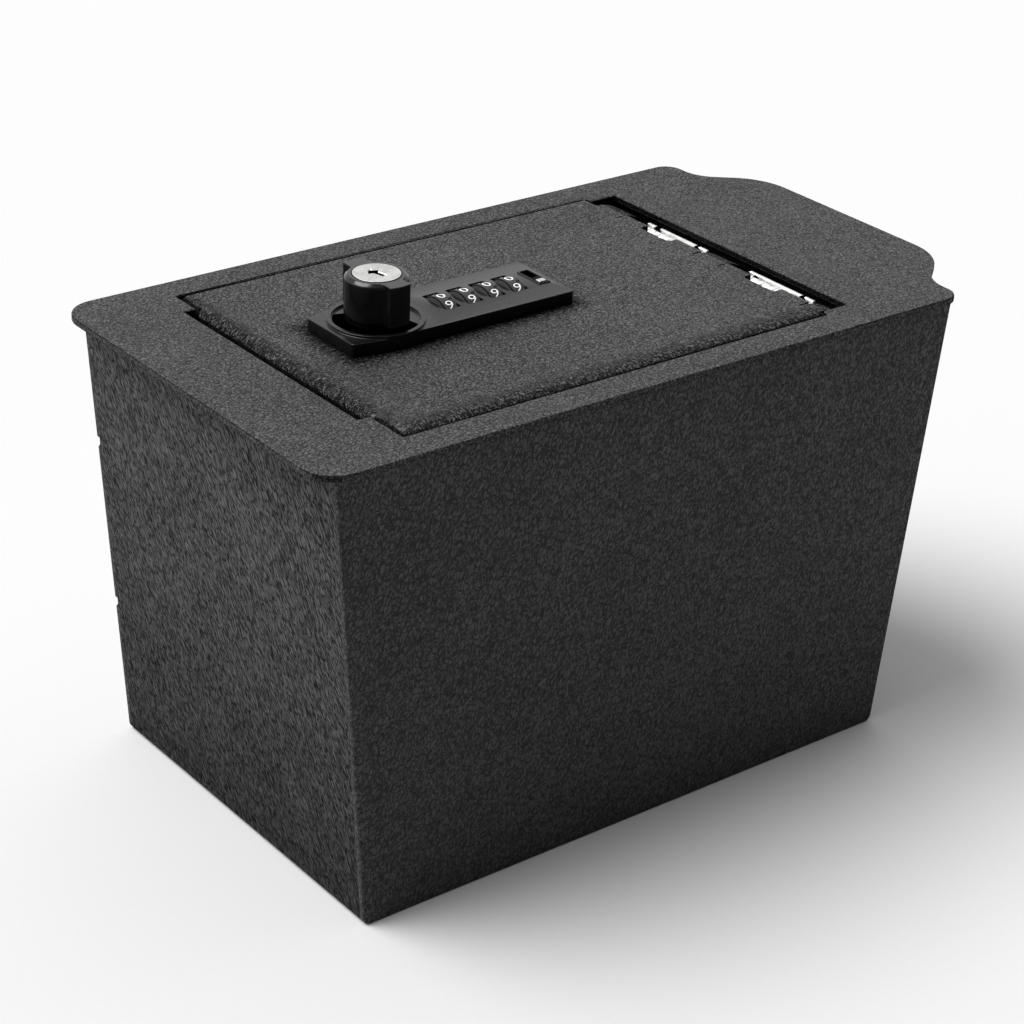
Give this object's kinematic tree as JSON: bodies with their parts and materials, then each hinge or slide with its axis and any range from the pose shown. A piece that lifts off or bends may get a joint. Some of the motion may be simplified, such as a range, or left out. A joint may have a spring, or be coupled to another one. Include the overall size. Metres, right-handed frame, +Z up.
{
  "type": "vehicle console safe",
  "caption": "Steel safe that hangs in a vehicle's centre console by its top plate, with a hinged lid that a knob with a number code and a key override locks.",
  "frame": {"origin": "on the ground under the middle of the overall box", "axes": "+X towards the hinge end, +Y towards the back long side, +Z up; the lock is towards -X"},
  "size_m": [0.343, 0.186, 0.2252],
  "materials": {
    "coat": "black textured powder coat on sheet steel",
    "plated_steel": "zinc plated",
    "lock_black": "semi-gloss black on die-cast zinc",
    "dial_black": "semi-gloss black with white digits",
    "cylinder_face": "brushed, nickel plated"
  },
  "bodies": {
    "safe_body": {"body_wrap": "coat", "front_wall": "coat", "back_wall": "coat", "top_plate": "coat", "hinge_rail": "coat", "latch_strike": "coat", "lid_stops": "coat", "frame_leaf_front": "plated_steel", "frame_leaf_back": "plated_steel", "hinge_pin_front": "plated_steel", "hinge_pin_back": "plated_steel", "frame_rivets": "plated_steel"},
    "lid": {"lid": "coat", "lid_leaf_front": "plated_steel", "lid_leaf_back": "plated_steel", "lid_rivets": "plated_steel", "lock_cover": "lock_black", "lock_case": "lock_black", "case_screws": "plated_steel", "wheel_axle": "plated_steel", "detent_spring": "plated_steel"},
    "dial_1": {"dial_wheel_1": "dial_black"},
    "dial_2": {"dial_wheel_2": "dial_black"},
    "dial_3": {"dial_wheel_3": "dial_black"},
    "dial_4": {"dial_wheel_4": "dial_black"},
    "code_slider": {"code_slider": "plated_steel"},
    "fence_bar": {"fence_bar": "plated_steel"},
    "knob": {"knob": "lock_black", "spindle": "plated_steel", "cam": "plated_steel", "cam_washer": "plated_steel", "cam_nut": "plated_steel"},
    "key_plug": {"key_plug": "cylinder_face"}
  },
  "joints": [
    {"name": "lid_hinge", "type": "hinge", "parent": "safe_body", "child": "lid", "pos_m": [0.0905, 0, 0.194], "axis": [0, 1, 0], "range_deg": [0, 95]},
    {"name": "knob_turn", "type": "hinge", "parent": "lid", "child": "knob", "pos_m": [-0.0801, 0.0052, 0.2], "axis": [0, 0, -1], "range_deg": [0, 90]},
    {"name": "key_turn", "type": "hinge", "parent": "knob", "child": "key_plug", "pos_m": [-0.0801, 0.0052, 0.2], "axis": [0, 0, -1], "range_deg": [0, 90]},
    {"name": "dial_1_turn", "type": "hinge", "parent": "lid", "child": "dial_1", "pos_m": [-0.0483, 0.0052, 0.1981], "axis": [1, 0, 0], "continuous": true},
    {"name": "dial_2_turn", "type": "hinge", "parent": "lid", "child": "dial_2", "pos_m": [-0.03695, 0.0052, 0.1981], "axis": [1, 0, 0], "continuous": true},
    {"name": "dial_3_turn", "type": "hinge", "parent": "lid", "child": "dial_3", "pos_m": [-0.0256, 0.0052, 0.1981], "axis": [1, 0, 0], "continuous": true},
    {"name": "dial_4_turn", "type": "hinge", "parent": "lid", "child": "dial_4", "pos_m": [-0.01425, 0.0052, 0.1981], "axis": [1, 0, 0], "continuous": true},
    {"name": "code_slide", "type": "slide", "parent": "lid", "child": "code_slider", "axis": [0, 1, 0], "range_m": [0, 0.007]},
    {"name": "fence_slide", "type": "slide", "parent": "lid", "child": "fence_bar", "axis": [-1, 0, 0], "range_m": [0, 0.0012]}
  ],
  "couplings": [
    {"joint": "fence_slide", "follows": "knob_turn", "m_per_rad": 0.00076}
  ]
}
